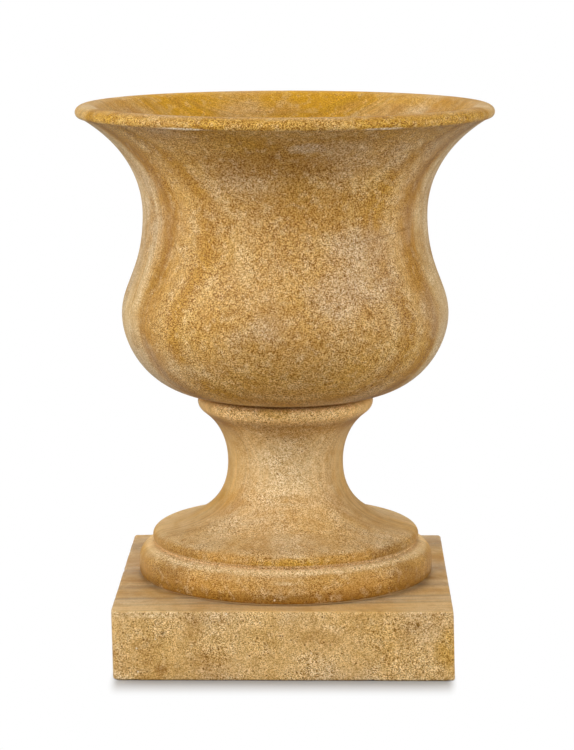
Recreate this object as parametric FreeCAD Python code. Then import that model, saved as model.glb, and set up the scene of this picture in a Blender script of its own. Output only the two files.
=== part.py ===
import FreeCAD, Part
import math
import os

# A turned stone urn on a square plinth, in millimetres, +Z up, standing on Z = 0 with its axis on Z.
# Three stones, a plinth, a foot and a bowl, are bedded on one another and drawn together
# by one threaded rod, with a nut and washer sunk into the bowl's floor and into the plinth's underside.

# Square plinth
PLINTH_SIDE = 305.0
PLINTH_HEIGHT = 63.0
PLINTH_ARRIS = 2.4

# Resin beds under the foot and under the bowl
BED_THICKNESS = 1.5
BED_SETBACK = 1.6

# Foot: base moulding with a round shoulder and a small toe, fillet, disc, waisted stem and collar
BASE_RADIUS = 136.5
BASE_HEIGHT = 28.9
BASE_SHOULDER_WIDTH = 14.4
BASE_SHOULDER_HEIGHT = 14.4
BASE_TOE_WIDTH = 3.0
BASE_TOE_HEIGHT = 5.0
LEDGE_WIDTH = 2.0
FILLET_HEIGHT = 0.9
DISC_OVERHANG = 3.7
DISC_LOWER_HEIGHT = 5.9
DISC_UPPER_HEIGHT = 8.4
DISC_SHOULDER_WIDTH = 9.6
SHOULDER_SLOPE = math.radians(11.8)
SHOULDER_REACH = 39.9
NECK_RADIUS = 53.5
NECK_RISE = 60.0
NECK_REACH_DOWN = 33.4
NECK_REACH_UP = 19.9
COLLAR_RADIUS = 81.2
COLLAR_ROOT_WIDTH = 7.0
COLLAR_ROOT_RISE = 46.9
COLLAR_ROOT_SLOPE = math.radians(38.3)
COLLAR_ROOT_REACH = 17.2
COLLAR_LOWER_HEIGHT = 11.2
COLLAR_UPPER_HEIGHT = 4.3
COLLAR_TOP_WIDTH = 6.3

# Bowl, outside
SEAT_SETBACK = 5.7
UNDERSIDE_SLOPE = math.radians(4.1)
UNDERSIDE_REACH = 55.5
BELLY_RADIUS = 150.4
BELLY_HEIGHT = 75.5
BELLY_REACH_DOWN = 27.2
BELLY_REACH_UP = 27.7
WAIST_RADIUS = 130.4
WAIST_RISE = 91.8
WAIST_REACH_DOWN = 50.3
WAIST_REACH_UP = 33.9
FLARE_RISE = 88.5
FLARE_SLOPE = math.radians(31.5)
FLARE_REACH = 43.9

# Bowl, lip
RIM_RADIUS = 191.0
LIP_UNDERSIDE_WIDTH = 5.0
LIP_QUIRK = 1.0
LIP_LOWER_HEIGHT = 4.9
LIP_UPPER_HEIGHT = 6.8
LIP_CROWN_WIDTH = 10.0
LIP_INNER_WIDTH = 11.0
LIP_INNER_DROP = 3.5
LIP_INNER_SLOPE = math.radians(45.0)
LIP_INNER_REACH = 4.0

# Bowl, inside
WAIST_WALL = 19.6
BELLY_WALL = 24.2
FLOOR_UNDER_RECESS = 16.0
FLOOR_RADIUS = 55.0
FLOOR_REACH = 45.0
INNER_BELLY_REACH_DOWN = 24.0
INNER_FLARE_REACH = 40.0

# Tie rod, nuts, washers and rubber seal, and their recesses
ROD_RADIUS = 6.0
ROD_CHAMFER = 1.0
ROD_STICK_OUT = 3.0
ROD_CLEARANCE = 1.0
THREAD_CLEARANCE = 0.05
WASHER_CLEARANCE = 0.5
NUT_ACROSS_FLATS = 19.0
NUT_HEIGHT = 10.0
NUT_CHAMFER = 1.2
NUT_CHAMFER_ANGLE = math.radians(30.0)
WASHER_RADIUS = 18.5
WASHER_THICKNESS = 3.0
SEAL_THICKNESS = 2.0
SEAL_CLEARANCE = 0.05
RECESS_CLEARANCE = 2.5
RECESS_COVER = 3.0


def point(radius, height):
    """A point of a turned outline, at this distance from the axis and this height."""
    return FreeCAD.Vector(radius, 0, height)


def line(start, end):
    return Part.LineSegment(start, end).toShape()


def curve(start, start_reach, end_reach, end):
    """A smooth curve that leaves start along one vector and reaches end along the other."""
    bent = Part.BezierCurve()
    bent.setPoles([start, start + start_reach, end - end_reach, end])
    return bent.toShape()


def towards(angle, reach):
    """A vector of this length that climbs outwards at this angle above the horizontal."""
    return FreeCAD.Vector(reach * math.cos(angle), 0, reach * math.sin(angle))


def upright(reach):
    return FreeCAD.Vector(0, 0, reach)


def level(reach):
    return FreeCAD.Vector(reach, 0, 0)


def turned(edges):
    """The solid that a closed outline of edges makes when it is turned about Z."""
    face = Part.Face(Part.Wire(edges))
    return face.revolve(FreeCAD.Vector(0, 0, 0), FreeCAD.Vector(0, 0, 1), 360)


def cylinder(radius, bottom, top):
    return Part.makeCylinder(radius, top - bottom, FreeCAD.Vector(0, 0, bottom))


def ring(outer_radius, inner_radius, bottom, top):
    return cylinder(outer_radius, bottom, top).cut(cylinder(inner_radius, bottom, top))


# Share of a curve's height that a tangent covers in a quarter of an ellipse
QUARTER = 4.0 / 3.0 * (math.sqrt(2.0) - 1.0)


def quarter_out(start, end):
    """A quarter ellipse that leaves start level and reaches end upright."""
    width = end.x - start.x
    height = end.z - start.z
    return curve(start, level(QUARTER * width), upright(QUARTER * height), end)


def quarter_in(start, end):
    """A quarter ellipse that leaves start upright and reaches end level."""
    width = end.x - start.x
    height = end.z - start.z
    return curve(start, upright(QUARTER * height), level(QUARTER * width), end)


# Heights above the ground, from the plinth up
foot_base = PLINTH_HEIGHT + BED_THICKNESS
toe_top = foot_base + BASE_TOE_HEIGHT
base_top = foot_base + BASE_HEIGHT
base_shoulder = base_top - BASE_SHOULDER_HEIGHT
fillet_top = base_top + FILLET_HEIGHT
disc_middle = fillet_top + DISC_LOWER_HEIGHT
disc_shoulder = disc_middle + DISC_UPPER_HEIGHT
neck = disc_shoulder + NECK_RISE
collar_root = neck + COLLAR_ROOT_RISE
collar_middle = collar_root + COLLAR_LOWER_HEIGHT
foot_top = collar_middle + COLLAR_UPPER_HEIGHT
bowl_base = foot_top + BED_THICKNESS
belly = bowl_base + BELLY_HEIGHT
waist = belly + WAIST_RISE
lip_root = waist + FLARE_RISE
lip_middle = lip_root + LIP_LOWER_HEIGHT
lip_crest = lip_middle + LIP_UPPER_HEIGHT

# Radii that follow from their neighbours
toe_radius = BASE_RADIUS - BASE_TOE_WIDTH
ledge_radius = BASE_RADIUS - BASE_SHOULDER_WIDTH
fillet_radius = ledge_radius - LEDGE_WIDTH
disc_radius = fillet_radius + DISC_OVERHANG
shoulder_radius = disc_radius - DISC_SHOULDER_WIDTH
collar_root_radius = COLLAR_RADIUS - COLLAR_ROOT_WIDTH
collar_top_radius = COLLAR_RADIUS - COLLAR_TOP_WIDTH
seat_radius = collar_top_radius - SEAT_SETBACK
lip_root_radius = RIM_RADIUS - LIP_UNDERSIDE_WIDTH
crest_radius = RIM_RADIUS - LIP_CROWN_WIDTH
lip_inner_radius = crest_radius - LIP_INNER_WIDTH
throat_radius = WAIST_RADIUS - WAIST_WALL
inner_belly_radius = BELLY_RADIUS - BELLY_WALL

# Fixings: the bore is shared by all three stones, and each recess holds its own stack
bore_radius = ROD_RADIUS + ROD_CLEARANCE
recess_radius = WASHER_RADIUS + RECESS_CLEARANCE
plinth_stack = WASHER_THICKNESS + NUT_HEIGHT + ROD_STICK_OUT
plinth_recess_depth = plinth_stack + RECESS_COVER
bowl_stack = SEAL_THICKNESS + WASHER_THICKNESS + NUT_HEIGHT + ROD_STICK_OUT
recess_floor = bowl_base + FLOOR_UNDER_RECESS
bowl_floor = recess_floor + bowl_stack + RECESS_COVER


def make_plinth():
    """A sawn square block with eased arrises, bored through and counterbored from below."""
    half = PLINTH_SIDE / 2
    block = Part.makeBox(PLINTH_SIDE, PLINTH_SIDE, PLINTH_HEIGHT, FreeCAD.Vector(-half, -half, 0))
    block = block.makeFillet(PLINTH_ARRIS, block.Edges)
    block = block.cut(cylinder(bore_radius, 0, PLINTH_HEIGHT))
    return block.cut(cylinder(recess_radius, 0, plinth_recess_depth))


def make_foot():
    """The turned foot, from its flat underside up to the flat that carries the bowl."""
    base_inner = point(bore_radius, foot_base)
    toe = point(toe_radius, foot_base)
    side_low = point(BASE_RADIUS, toe_top)
    side_high = point(BASE_RADIUS, base_shoulder)
    ledge = point(ledge_radius, base_top)
    fillet_foot = point(fillet_radius, base_top)
    fillet_head = point(fillet_radius, fillet_top)
    disc_outer = point(disc_radius, disc_middle)
    shoulder = point(shoulder_radius, disc_shoulder)
    neck_point = point(NECK_RADIUS, neck)
    root = point(collar_root_radius, collar_root)
    collar_outer = point(COLLAR_RADIUS, collar_middle)
    collar_edge = point(collar_top_radius, foot_top)
    top_inner = point(bore_radius, foot_top)
    shoulder_back = FreeCAD.Vector(math.cos(SHOULDER_SLOPE), 0, -math.sin(SHOULDER_SLOPE))
    down_and_in = towards(COLLAR_ROOT_SLOPE, -1.0)
    outline = [
        line(base_inner, toe),
        quarter_out(toe, side_low),
        line(side_low, side_high),
        quarter_in(side_high, ledge),
        line(ledge, fillet_foot),
        line(fillet_foot, fillet_head),
        quarter_out(fillet_head, disc_outer),
        curve(
            disc_outer,
            upright(QUARTER * DISC_UPPER_HEIGHT),
            shoulder_back * (-QUARTER * DISC_SHOULDER_WIDTH),
            shoulder,
        ),
        curve(shoulder, shoulder_back * -SHOULDER_REACH, upright(NECK_REACH_DOWN), neck_point),
        curve(neck_point, upright(NECK_REACH_UP), down_and_in * -COLLAR_ROOT_REACH, root),
        curve(
            root,
            down_and_in * (-QUARTER * COLLAR_ROOT_WIDTH),
            upright(QUARTER * COLLAR_LOWER_HEIGHT),
            collar_outer,
        ),
        quarter_in(collar_outer, collar_edge),
        line(collar_edge, top_inner),
        line(top_inner, base_inner),
    ]
    return turned(outline)


def make_bowl():
    """The turned bowl, outside and hollow, with the nut's recess sunk into its floor."""
    seat_inner = point(bore_radius, bowl_base)
    seat_edge = point(seat_radius, bowl_base)
    belly_point = point(BELLY_RADIUS, belly)
    waist_point = point(WAIST_RADIUS, waist)
    flare_end = point(lip_root_radius, lip_root)
    quirk = point(lip_root_radius + LIP_QUIRK, lip_root)
    rim = point(RIM_RADIUS, lip_middle)
    crest = point(crest_radius, lip_crest)
    lip_inner = point(lip_inner_radius, lip_crest - LIP_INNER_DROP)
    throat = point(throat_radius, waist)
    inner_belly = point(inner_belly_radius, belly)
    floor_edge = point(FLOOR_RADIUS, bowl_floor)
    recess_rim = point(recess_radius, bowl_floor)
    recess_edge = point(recess_radius, recess_floor)
    recess_inner = point(bore_radius, recess_floor)
    outline = [
        line(seat_inner, seat_edge),
        curve(seat_edge, towards(UNDERSIDE_SLOPE, UNDERSIDE_REACH), upright(BELLY_REACH_DOWN), belly_point),
        curve(belly_point, upright(BELLY_REACH_UP), upright(WAIST_REACH_DOWN), waist_point),
        curve(waist_point, upright(WAIST_REACH_UP), towards(FLARE_SLOPE, FLARE_REACH), flare_end),
        line(flare_end, quirk),
        quarter_out(quirk, rim),
        quarter_in(rim, crest),
        curve(
            crest,
            level(-LIP_INNER_REACH),
            towards(LIP_INNER_SLOPE, -LIP_INNER_REACH),
            lip_inner,
        ),
        curve(lip_inner, towards(LIP_INNER_SLOPE, -INNER_FLARE_REACH), upright(-WAIST_REACH_UP), throat),
        curve(throat, upright(-WAIST_REACH_DOWN), upright(-BELLY_REACH_UP), inner_belly),
        curve(inner_belly, upright(-INNER_BELLY_REACH_DOWN), level(-FLOOR_REACH), floor_edge),
        line(floor_edge, recess_rim),
        line(recess_rim, recess_edge),
        line(recess_edge, recess_inner),
        line(recess_inner, seat_inner),
    ]
    return turned(outline)


def make_bed(outer_radius, bottom):
    """A thin ring of stone resin between two stones, held back from the edge that shows."""
    return ring(outer_radius - BED_SETBACK, bore_radius, bottom, bottom + BED_THICKNESS)


def make_rod(bottom, top):
    """The threaded rod at its thread's outer size, with chamfered ends."""
    end_radius = ROD_RADIUS - ROD_CHAMFER
    outline = [
        line(point(0, bottom), point(end_radius, bottom)),
        line(point(end_radius, bottom), point(ROD_RADIUS, bottom + ROD_CHAMFER)),
        line(point(ROD_RADIUS, bottom + ROD_CHAMFER), point(ROD_RADIUS, top - ROD_CHAMFER)),
        line(point(ROD_RADIUS, top - ROD_CHAMFER), point(end_radius, top)),
        line(point(end_radius, top), point(0, top)),
        line(point(0, top), point(0, bottom)),
    ]
    return turned(outline)


def make_nut(bottom):
    """A hexagon nut with both faces chamfered, bored to clear the rod's thread."""
    corner_radius = NUT_ACROSS_FLATS / math.sqrt(3.0)
    corners = []
    for side in range(6):
        angle = math.radians(60 * side)
        corners.append(
            FreeCAD.Vector(corner_radius * math.cos(angle), corner_radius * math.sin(angle), bottom)
        )
    corners.append(corners[0])
    hexagon = Part.Face(Part.makePolygon(corners)).extrude(upright(NUT_HEIGHT))
    chamfer_drop = NUT_CHAMFER * math.tan(NUT_CHAMFER_ANGLE)
    face_radius = corner_radius - NUT_CHAMFER
    top = bottom + NUT_HEIGHT
    blank = turned(
        [
            line(point(0, bottom), point(face_radius, bottom)),
            line(point(face_radius, bottom), point(corner_radius, bottom + chamfer_drop)),
            line(point(corner_radius, bottom + chamfer_drop), point(corner_radius, top - chamfer_drop)),
            line(point(corner_radius, top - chamfer_drop), point(face_radius, top)),
            line(point(face_radius, top), point(0, top)),
            line(point(0, top), point(0, bottom)),
        ]
    )
    nut = hexagon.common(blank)
    return nut.cut(cylinder(ROD_RADIUS + THREAD_CLEARANCE, bottom, top))


def make_washer(bottom, thickness, clearance):
    """A flat ring round the rod: a steel washer, or the rubber seal that grips the thread."""
    return ring(WASHER_RADIUS, ROD_RADIUS + clearance, bottom, bottom + thickness)


def make_parts():
    plinth_washer_base = plinth_recess_depth - WASHER_THICKNESS
    plinth_nut_base = plinth_washer_base - NUT_HEIGHT
    seal_top = recess_floor + SEAL_THICKNESS
    washer_top = seal_top + WASHER_THICKNESS
    nut_top = washer_top + NUT_HEIGHT
    return {
        "plinth": make_plinth(),
        "foot_bed": make_bed(toe_radius, PLINTH_HEIGHT),
        "foot": make_foot(),
        "bowl_bed": make_bed(seat_radius, foot_top),
        "bowl": make_bowl(),
        "tie_rod": make_rod(plinth_nut_base - ROD_STICK_OUT, nut_top + ROD_STICK_OUT),
        "plinth_washer": make_washer(plinth_washer_base, WASHER_THICKNESS, WASHER_CLEARANCE),
        "plinth_nut": make_nut(plinth_nut_base),
        "bowl_seal": make_washer(recess_floor, SEAL_THICKNESS, SEAL_CLEARANCE),
        "bowl_washer": make_washer(seal_top, WASHER_THICKNESS, WASHER_CLEARANCE),
        "bowl_nut": make_nut(washer_top),
    }


os.makedirs("parts", exist_ok=True)
for name, shape in make_parts().items():
    shape.exportStep("parts/" + name + ".step")
    print(name, "solids", len(shape.Solids), "valid", shape.isValid(), "cm3", round(shape.Volume / 1000, 2))
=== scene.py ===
import math

import bmesh
import bpy
import numpy as np
from mathutils import Matrix, Vector, geometry, noise


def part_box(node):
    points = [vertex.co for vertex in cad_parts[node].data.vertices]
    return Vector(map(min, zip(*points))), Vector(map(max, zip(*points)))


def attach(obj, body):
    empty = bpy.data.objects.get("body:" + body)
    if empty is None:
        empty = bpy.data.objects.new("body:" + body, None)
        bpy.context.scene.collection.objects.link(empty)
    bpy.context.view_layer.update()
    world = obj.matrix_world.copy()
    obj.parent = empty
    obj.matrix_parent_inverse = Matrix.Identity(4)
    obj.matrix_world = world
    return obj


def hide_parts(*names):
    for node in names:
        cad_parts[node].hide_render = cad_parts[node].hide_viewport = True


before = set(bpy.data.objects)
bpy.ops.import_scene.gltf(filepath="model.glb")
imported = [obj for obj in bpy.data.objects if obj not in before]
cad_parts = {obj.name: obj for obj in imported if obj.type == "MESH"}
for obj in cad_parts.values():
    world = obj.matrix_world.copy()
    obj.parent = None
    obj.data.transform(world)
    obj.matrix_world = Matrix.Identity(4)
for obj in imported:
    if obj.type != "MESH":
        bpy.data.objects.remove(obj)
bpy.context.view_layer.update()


# Camera
# A long lens at two and a half metres, turned less than a degree off the plinth's face and pitched
# gently down, so that the bowl's lip shows as a thin ellipse and the plinth's top as a shallow trapezium.
CAMERA_DISTANCE = 2.538
CAMERA_PITCH = math.radians(9.525)
CAMERA_AZIMUTH = math.radians(0.949)
CAMERA_ROLL = math.radians(-0.115)
CAMERA_LENS = 131.65
CAMERA_SENSOR = 36.0
AIM_ASIDE = 0.0015
AIM_HEIGHT = 0.249


def new_object(name, data):
    thing = bpy.data.objects.new(name, data)
    bpy.context.collection.objects.link(thing)
    return thing


aim = Vector((AIM_ASIDE, 0.0, AIM_HEIGHT))
turn_round = Matrix.Rotation(CAMERA_AZIMUTH, 3, "Z")
away = turn_round @ Vector((0.0, -math.cos(CAMERA_PITCH), math.sin(CAMERA_PITCH)))
aside = turn_round @ Vector((1.0, 0.0, 0.0))
camera_axes = Matrix((aside, away.cross(aside), away)).transposed().to_4x4()
lens = bpy.data.cameras.new("camera")
lens.sensor_width = CAMERA_SENSOR
lens.lens = CAMERA_LENS
camera = new_object("camera", lens)
camera.matrix_world = (
    Matrix.Translation(turn_round @ aim + away * CAMERA_DISTANCE)
    @ camera_axes
    @ Matrix.Rotation(CAMERA_ROLL, 4, "Z")
)
bpy.context.scene.camera = camera


# Plinth
# A square block sawn from honey-coloured bedded sandstone, rubbed smooth and eased along its arrises.
# It is the first of the three stones, so the stone's beds, grain, pores and dust are worked out here.
# The beds stand upright and face the viewer, and all three stones were cut from the same bed.
MM = 0.001
ROLL_SCALE = 5.0
SORTING_SCALE = 30.0
DRIFT_SCALE = 28.0
PATCH_EDGE_SCALE = 2.2
CRACK_WANDER_SCALE = 90.0
CLOUD_SCALE = 14.0
STAIN_SCALE = 36.0
MOTTLE_SCALE = 120.0
STONE_ROUGHNESS = 0.34
GRAIN_ROUGHNESS = 0.2
DUST_ROUGHNESS = 0.3
STONE_SHEEN = 0.16
GRAIN_BUMP = 0.3
GRAIN_RELIEF = 0.4 * MM
COARSE_FADE = 20.0 * MM


def adder(tree):
    """A function that adds a node to a tree, sets its properties and fills or links its inputs."""

    def add(kind, inputs=None, **properties):
        node = tree.nodes.new(kind)
        for key, value in properties.items():
            setattr(node, key, value)
        for key, value in (inputs or {}).items():
            if isinstance(value, bpy.types.NodeSocket):
                tree.links.new(value, node.inputs[key])
            else:
                node.inputs[key].default_value = value
        return node

    return add


def stone_group(name, inputs, outputs=("Mask",)):
    """A shader group that takes a place in the stone and these inputs, which are numbers, or vectors where
    they have no value, and gives numbers. It comes with a function that adds nodes to it, and with what it
    is given."""
    group = bpy.data.node_groups.new(name, "ShaderNodeTree")
    for socket_name, value in ({"Place": None} | inputs).items():
        kind = "NodeSocketVector" if value is None else "NodeSocketFloat"
        socket = group.interface.new_socket(socket_name, in_out="INPUT", socket_type=kind)
        if value is not None:
            socket.default_value = value
    for socket_name in outputs:
        group.interface.new_socket(socket_name, in_out="OUTPUT", socket_type="NodeSocketFloat")
    add = adder(group)
    return group, add, add("NodeGroupInput").outputs


def maths(add, operation, first, second=0.0, third=0.0):
    node = add("ShaderNodeMath", {0: first, 1: second, 2: third}, operation=operation)
    return node.outputs[0]


def plus(add, first, second):
    return maths(add, "ADD", first, second)


def minus(add, first, second):
    return maths(add, "SUBTRACT", first, second)


def times(add, first, second):
    return maths(add, "MULTIPLY", first, second)


def vector_maths(add, operation, first, second=(0.0, 0.0, 0.0)):
    """The vector that the operation gives, or the number if it is a length, a distance or a product."""
    node = add(
        "ShaderNodeVectorMath",
        {0: first, "Scale" if operation == "SCALE" else 1: second},
        operation=operation,
    )
    return node.outputs["Value" if operation in ("LENGTH", "DISTANCE", "DOT_PRODUCT") else "Vector"]


def parts_of(add, vector):
    return add("ShaderNodeSeparateXYZ", {0: vector}).outputs


def vector_of(add, *parts):
    return add("ShaderNodeCombineXYZ", dict(enumerate(parts))).outputs[0]


def noise_at(add, place, scale, detail, roughness=0.5, output="Fac"):
    inputs = {"Vector": place, "Scale": scale, "Detail": detail, "Roughness": roughness}
    return add("ShaderNodeTexNoise", inputs).outputs[output]


def spread(add, value, width):
    """Spreads a noise about nought, over this width."""
    return times(add, minus(add, value, 0.5), width)


def between(add, value, low, high, to_low=0.0, to_high=1.0):
    """The value's place between low and high, eased and held at both ends."""
    node = add(
        "ShaderNodeMapRange",
        {"Value": value, "From Min": low, "From Max": high, "To Min": to_low, "To Max": to_high},
        interpolation_type="SMOOTHSTEP",
    )
    return node.outputs["Result"]


def between_evenly(add, value, low, high):
    """The value's place between low and high, held at both ends."""
    node = add("ShaderNodeMapRange", {"Value": value, "From Min": low, "From Max": high})
    return node.outputs["Result"]


def blend_colour(add, share, under, over, how="MIX"):
    node = add("ShaderNodeMix", {"Factor": share, "A": under, "B": over}, data_type="RGBA", blend_type=how)
    return node.outputs["Result"]


def new_material(name):
    """A material with no nodes yet, and a function that adds them."""
    material = bpy.data.materials.new(name)
    material.use_nodes = True
    material.node_tree.nodes.clear()
    return material, adder(material.node_tree)


def give_surface(add, inputs, height, strength, depth):
    """Gives the material a Principled surface with these inputs and a relief of this strength and depth."""
    bump = add("ShaderNodeBump", {"Height": height, "Strength": strength, "Distance": depth})
    shader = add("ShaderNodeBsdfPrincipled", inputs | {"Normal": bump.outputs["Normal"]})
    add("ShaderNodeOutputMaterial", {"Surface": shader.outputs["BSDF"]})


def make_bed_group():
    """Upright beds across the stone: broad ones of changing thickness, and thin laminae within them."""
    group, add, given = stone_group(
        "stone_beds",
        {
            "Bed Thickness": 0.012,
            "Lamina Thickness": 0.0022,
            "Packet Thickness": 0.07,
            "Wander": 0.02,
            "Tilt": 0.06,
            "Coarse Before": -0.092,
        },
        ("Broad", "Fine", "Depth", "Packet", "Coarse"),
    )
    roll = spread(add, noise_at(add, given["Place"], ROLL_SCALE, 2.0), given["Wander"])
    place = parts_of(add, given["Place"])
    lie = times(add, place["X"], given["Tilt"])
    depth = plus(add, minus(add, place["Y"], lie), roll)
    found = {}
    for name, thickness, stretch in (
        ("Broad", "Bed Thickness", 0.07),
        ("Fine", "Lamina Thickness", 0.03),
        ("Packet", "Packet Thickness", 0.4),
    ):
        cells = maths(add, "DIVIDE", 1.0, given[thickness])
        along = times(add, cells, stretch)
        across, upwards = (times(add, place[axis], along) for axis in "XZ")
        found[name] = noise_at(add, vector_of(add, across, times(add, depth, cells), upwards), 1.0, 2.0)
    packet = between(add, found["Packet"], 0.35, 0.6, 0.15, 1.0)
    past = minus(add, depth, given["Coarse Before"])
    coarse = between(add, past, COARSE_FADE, -COARSE_FADE)
    found["Packet"] = times(add, packet, maths(add, "MULTIPLY_ADD", coarse, -0.6, 1.0))
    add("NodeGroupOutput", found | {"Depth": depth, "Coarse": coarse})
    return group


def make_grain_group():
    """Packed sand grains: how brown and how pale each place is, and the relief that the grains leave.
    They stand out where the bed is coarse, and are close and even elsewhere."""
    group, add, given = stone_group(
        "stone_grain",
        {
            "Coarseness": 1.0,
            "Grain Size": 0.00064,
            "Crowding": 0.36,
            "Coarse Strength": 1.0,
            "Fine Strength": 0.55,
        },
        ("Dark", "Pale", "Relief"),
    )
    cells = maths(add, "DIVIDE", 1.0, given["Grain Size"])
    grains = add("ShaderNodeTexVoronoi", {"Vector": given["Place"], "Scale": cells})
    lot = add("ShaderNodeSeparateColor", {0: grains.outputs["Color"]}).outputs["Red"]
    crowd = noise_at(add, given["Place"], times(add, cells, given["Crowding"]), 3.0, 0.75)
    level = maths(add, "MULTIPLY_ADD", minus(add, lot, 0.5), 0.8, crowd)
    strength = minus(add, given["Coarse Strength"], given["Fine Strength"])
    strength = maths(add, "MULTIPLY_ADD", given["Coarseness"], strength, given["Fine Strength"])
    sorting = noise_at(add, given["Place"], SORTING_SCALE, 2.0)
    strength = times(add, strength, between(add, sorting, 0.36, 0.64, 0.7, 1.2))
    dark = times(add, between(add, level, 0.44, 0.2), strength)
    pale = times(add, between(add, level, 0.56, 0.8), strength)
    add("NodeGroupOutput", {"Dark": dark, "Pale": pale, "Relief": level})
    return group


def make_fleck_group():
    """Scattered ragged marks of one size, such as pores or white flecks."""
    group, add, given = stone_group(
        "stone_flecks", {"Spacing": 0.008, "Share": 0.2, "Radius": 0.2, "Raggedness": 1.6}
    )
    scale = maths(add, "DIVIDE", 1.0, given["Spacing"])
    cells = add("ShaderNodeTexVoronoi", {"Vector": given["Place"], "Scale": scale})
    lot = add("ShaderNodeSeparateColor", {0: cells.outputs["Color"]}).outputs["Green"]
    chosen = maths(add, "LESS_THAN", lot, given["Share"])
    edge = noise_at(add, given["Place"], times(add, scale, 3.0), 2.0)
    edge = spread(add, edge, given["Raggedness"])
    reach = maths(add, "DIVIDE", cells.outputs["Distance"], given["Radius"])
    inside = between(add, plus(add, reach, edge), 1.0, 0.6)
    add("NodeGroupOutput", {"Mask": times(add, chosen, inside)})
    return group


def make_dust_group():
    """Stone dust and bloom that settle on what faces upwards, and lie unevenly."""
    group, add, given = stone_group("stone_dust", {"Amount": 0.5}, ("Mask", "Lying"))
    up = parts_of(add, add("ShaderNodeNewGeometry").outputs["Normal"])["Z"]
    lying = between(add, up, 0.4, 0.95)
    drift = between(add, noise_at(add, given["Place"], DRIFT_SCALE, 3.0), 0.25, 0.7, 0.55, 1.0)
    mask = times(add, times(add, lying, drift), given["Amount"])
    add("NodeGroupOutput", {"Mask": mask, "Lying": lying})
    return group


def make_patch_group():
    """A ragged patch of the stone about one place, such as a stain, a pale spot, a painted highlight or a
    painted shade.
    """
    group, add, given = stone_group("stone_patch", {"Centre": None, "Reach": None, "Raggedness": 0.5})
    offset = vector_maths(add, "SUBTRACT", given["Place"], given["Centre"])
    offset = vector_maths(add, "DIVIDE", offset, given["Reach"])
    rough = spread(add, noise_at(add, offset, PATCH_EDGE_SCALE, 4.0), given["Raggedness"])
    away = plus(add, vector_maths(add, "LENGTH", offset), rough)
    add("NodeGroupOutput", {"Mask": between(add, away, 1.0, 0.35)})
    return group


def make_crack_group():
    """A hairline crack or scratch across the front of a stone, wandering from one point to another."""
    group, add, given = stone_group(
        "stone_crack", {"Start": None, "End": None, "Width": 0.0007, "Wander": 0.003}
    )
    flat = (1.0, 0.0, 1.0)
    start = vector_maths(add, "MULTIPLY", given["Start"], flat)
    end = vector_maths(add, "MULTIPLY", given["End"], flat)
    here = vector_maths(add, "MULTIPLY", given["Place"], flat)
    drift = noise_at(add, here, CRACK_WANDER_SCALE, 3.0, output="Color")
    drift = vector_maths(add, "SUBTRACT", drift, (0.5, 0.5, 0.5))
    drift = vector_maths(add, "MULTIPLY", vector_maths(add, "SCALE", drift, given["Wander"]), flat)
    here = vector_maths(add, "ADD", here, drift)
    path = vector_maths(add, "SUBTRACT", end, start)
    reached = vector_maths(add, "SUBTRACT", here, start)
    along = vector_maths(add, "DOT_PRODUCT", reached, path)
    length = vector_maths(add, "DOT_PRODUCT", path, path)
    share = between_evenly(add, maths(add, "DIVIDE", along, length), 0.0, 1.0)
    away = vector_maths(add, "DISTANCE", reached, vector_maths(add, "SCALE", path, share))
    line = between(add, maths(add, "DIVIDE", away, given["Width"]), 1.0, 0.2)
    in_front = maths(add, "LESS_THAN", parts_of(add, given["Place"])["Y"], 0.0)
    add("NodeGroupOutput", {"Mask": times(add, line, in_front)})
    return group


bed_group = make_bed_group()
grain_group = make_grain_group()
fleck_group = make_fleck_group()
dust_group = make_dust_group()
patch_group = make_patch_group()
crack_group = make_crack_group()

PAINTED_HIGHLIGHT = (0.91, 0.74, 0.48)
PAINTED_LIGHT_STRAW = (0.92, 0.57, 0.21)
PALE = (0.75, 0.525, 0.255)
CREAM = (0.68, 0.435, 0.172)
BUFF = (0.76, 0.465, 0.166)
HONEY = (0.63, 0.365, 0.112)
AMBER = (0.63, 0.315, 0.016)
OCHRE = (0.57, 0.305, 0.08)
RUST = (0.48, 0.228, 0.036)
UMBER = (0.37, 0.168, 0.034)
BARK = (0.25, 0.105, 0.008)
ASH = (0.59, 0.405, 0.222)
DUN = (0.4, 0.265, 0.145)
PALE_GRAIN = (1.46, 1.8, 2.6)
DARK_GRAIN = (0.38, 0.25, 0.03)
PORE = (0.21, 0.088, 0.008)
DUST = (0.71, 0.51, 0.26)
WHITE_FLECK_AND_PAINTED_GLINT = (0.92, 0.82, 0.62)
WHITE = (1.0, 1.0, 1.0, 1.0)
BEDS_FRONT = -200.0 * MM
BEDS_BACK = 200.0 * MM


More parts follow.
